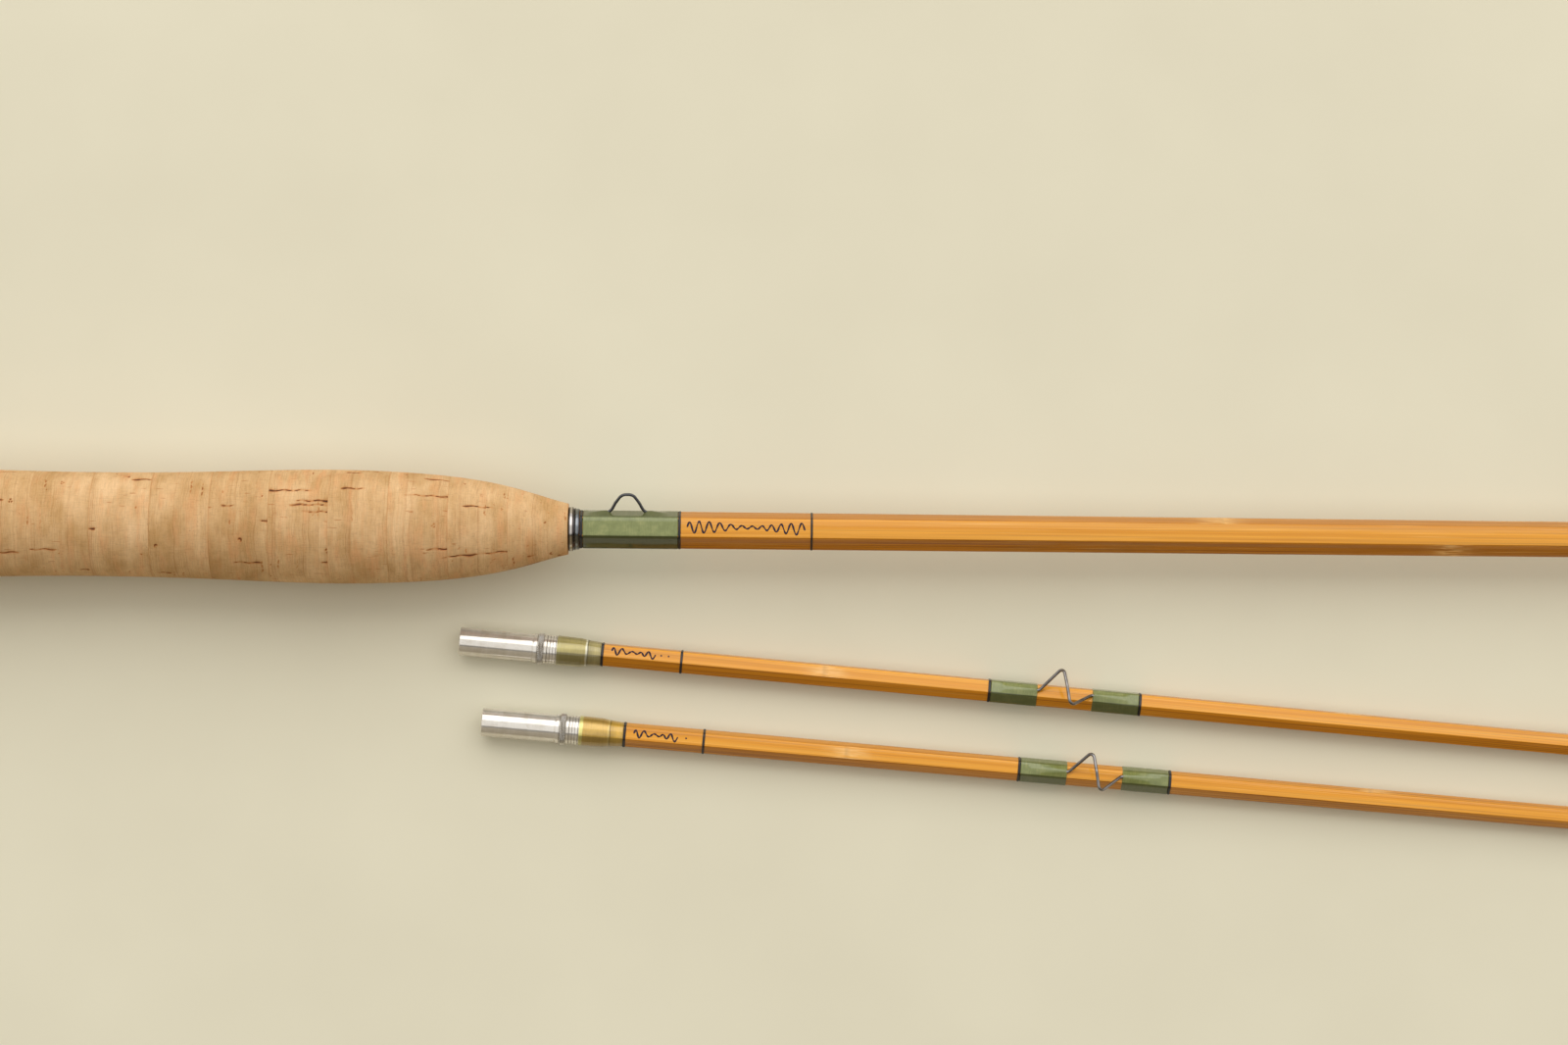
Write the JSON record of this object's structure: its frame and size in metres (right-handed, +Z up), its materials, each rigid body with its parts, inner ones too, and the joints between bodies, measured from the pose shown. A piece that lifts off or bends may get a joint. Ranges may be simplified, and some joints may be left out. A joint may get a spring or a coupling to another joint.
{
  "type": "fly rod",
  "caption": "Split-cane fly rod with a cork grip, screw-locking reel seat, wire guides, metal ferrules and a spare tip, laid out in its separate sections.",
  "frame": {"origin": "centre of the underside of the three sections as they lie side by side", "axes": "+X from the butt cap towards the tip tops, along the butt section; +Z up from the surface the rod lies on; +Y from the spare tips towards the butt section"},
  "size_m": [1.3842, 0.1472, 0.0253],
  "materials": {
    "cork": "sanded natural cork",
    "varnished_cane": "split cane under clear gloss varnish",
    "seat_wood": "oiled walnut",
    "green_silk": "silk thread under varnish",
    "clear_silk": "translucent silk thread under varnish",
    "black_thread": "black silk thread under varnish",
    "guide_wire": "polished steel wire",
    "black_wire": "blackened wire",
    "agate": "polished agate",
    "nickel_silver": "polished nickel silver",
    "seat_metal": "polished nickel silver"
  },
  "bodies": {
    "butt_section": {"butt_cane": "varnished_cane", "butt_cap": "seat_metal", "butt_snake_guide": "guide_wire", "butt_snake_wraps": "green_silk", "butt_tipping_bands": "black_thread", "cork_ring_01": "cork", "cork_ring_02": "cork", "cork_ring_03": "cork", "cork_ring_04": "cork", "cork_ring_05": "cork", "cork_ring_06": "cork", "cork_ring_07": "cork", "cork_ring_08": "cork", "cork_ring_09": "cork", "cork_ring_10": "cork", "cork_ring_11": "cork", "cork_ring_12": "cork", "cork_ring_13": "cork", "female_ferrule": "nickel_silver", "female_ferrule_wrap": "clear_silk", "ferrule_water_plug": "nickel_silver", "fixed_hood": "seat_metal", "hook_keeper": "black_wire", "keeper_wrap": "green_silk", "seat_barrel": "seat_metal", "seat_insert": "seat_wood", "stripping_guide_frame": "guide_wire", "stripping_guide_ring": "agate", "stripping_guide_wraps": "green_silk", "winding_check": "nickel_silver"},
    "slide_hood": {"slide_hood": "seat_metal"},
    "lock_nut": {"lock_nut": "seat_metal"},
    "tip_a": {"tip_a_cane": "varnished_cane", "tip_a_ferrule_end_cap": "nickel_silver", "tip_a_ferrule_wrap": "clear_silk", "tip_a_guide_wraps": "green_silk", "tip_a_male_ferrule": "nickel_silver", "tip_a_snake_guide_1": "guide_wire", "tip_a_snake_guide_2": "guide_wire", "tip_a_snake_guide_3": "guide_wire", "tip_a_snake_guide_4": "guide_wire", "tip_a_snake_guide_5": "guide_wire", "tip_a_snake_guide_6": "guide_wire", "tip_a_tip_top": "guide_wire", "tip_a_tipping_bands": "black_thread"},
    "tip_b": {"tip_b_cane": "varnished_cane", "tip_b_ferrule_end_cap": "nickel_silver", "tip_b_ferrule_wrap": "clear_silk", "tip_b_guide_wraps": "green_silk", "tip_b_male_ferrule": "nickel_silver", "tip_b_snake_guide_1": "guide_wire", "tip_b_snake_guide_2": "guide_wire", "tip_b_snake_guide_3": "guide_wire", "tip_b_snake_guide_4": "guide_wire", "tip_b_snake_guide_5": "guide_wire", "tip_b_snake_guide_6": "guide_wire", "tip_b_tip_top": "guide_wire", "tip_b_tipping_bands": "black_thread"}
  },
  "joints": [
    {"name": "hood_slide", "type": "slide", "parent": "butt_section", "child": "slide_hood", "axis": [1, 0, -0.0087], "range_m": [0, 0.01]},
    {"name": "nut_turn", "type": "hinge", "parent": "slide_hood", "child": "lock_nut", "pos_m": [-0.67501, 0.05945, 0.01389], "axis": [1, 0, -0.0087], "range_deg": [0, 2880]},
    {"name": "tip_a_lift", "type": "slide", "parent": "butt_section", "child": "tip_a", "axis": [0, 0, 1], "range_m": [0, 0.1]},
    {"name": "tip_b_lift", "type": "slide", "parent": "butt_section", "child": "tip_b", "axis": [0, 0, 1], "range_m": [0, 0.1]}
  ],
  "couplings": [
    {"joint": "hood_slide", "follows": "nut_turn", "m_per_rad": 0.00019894}
  ]
}
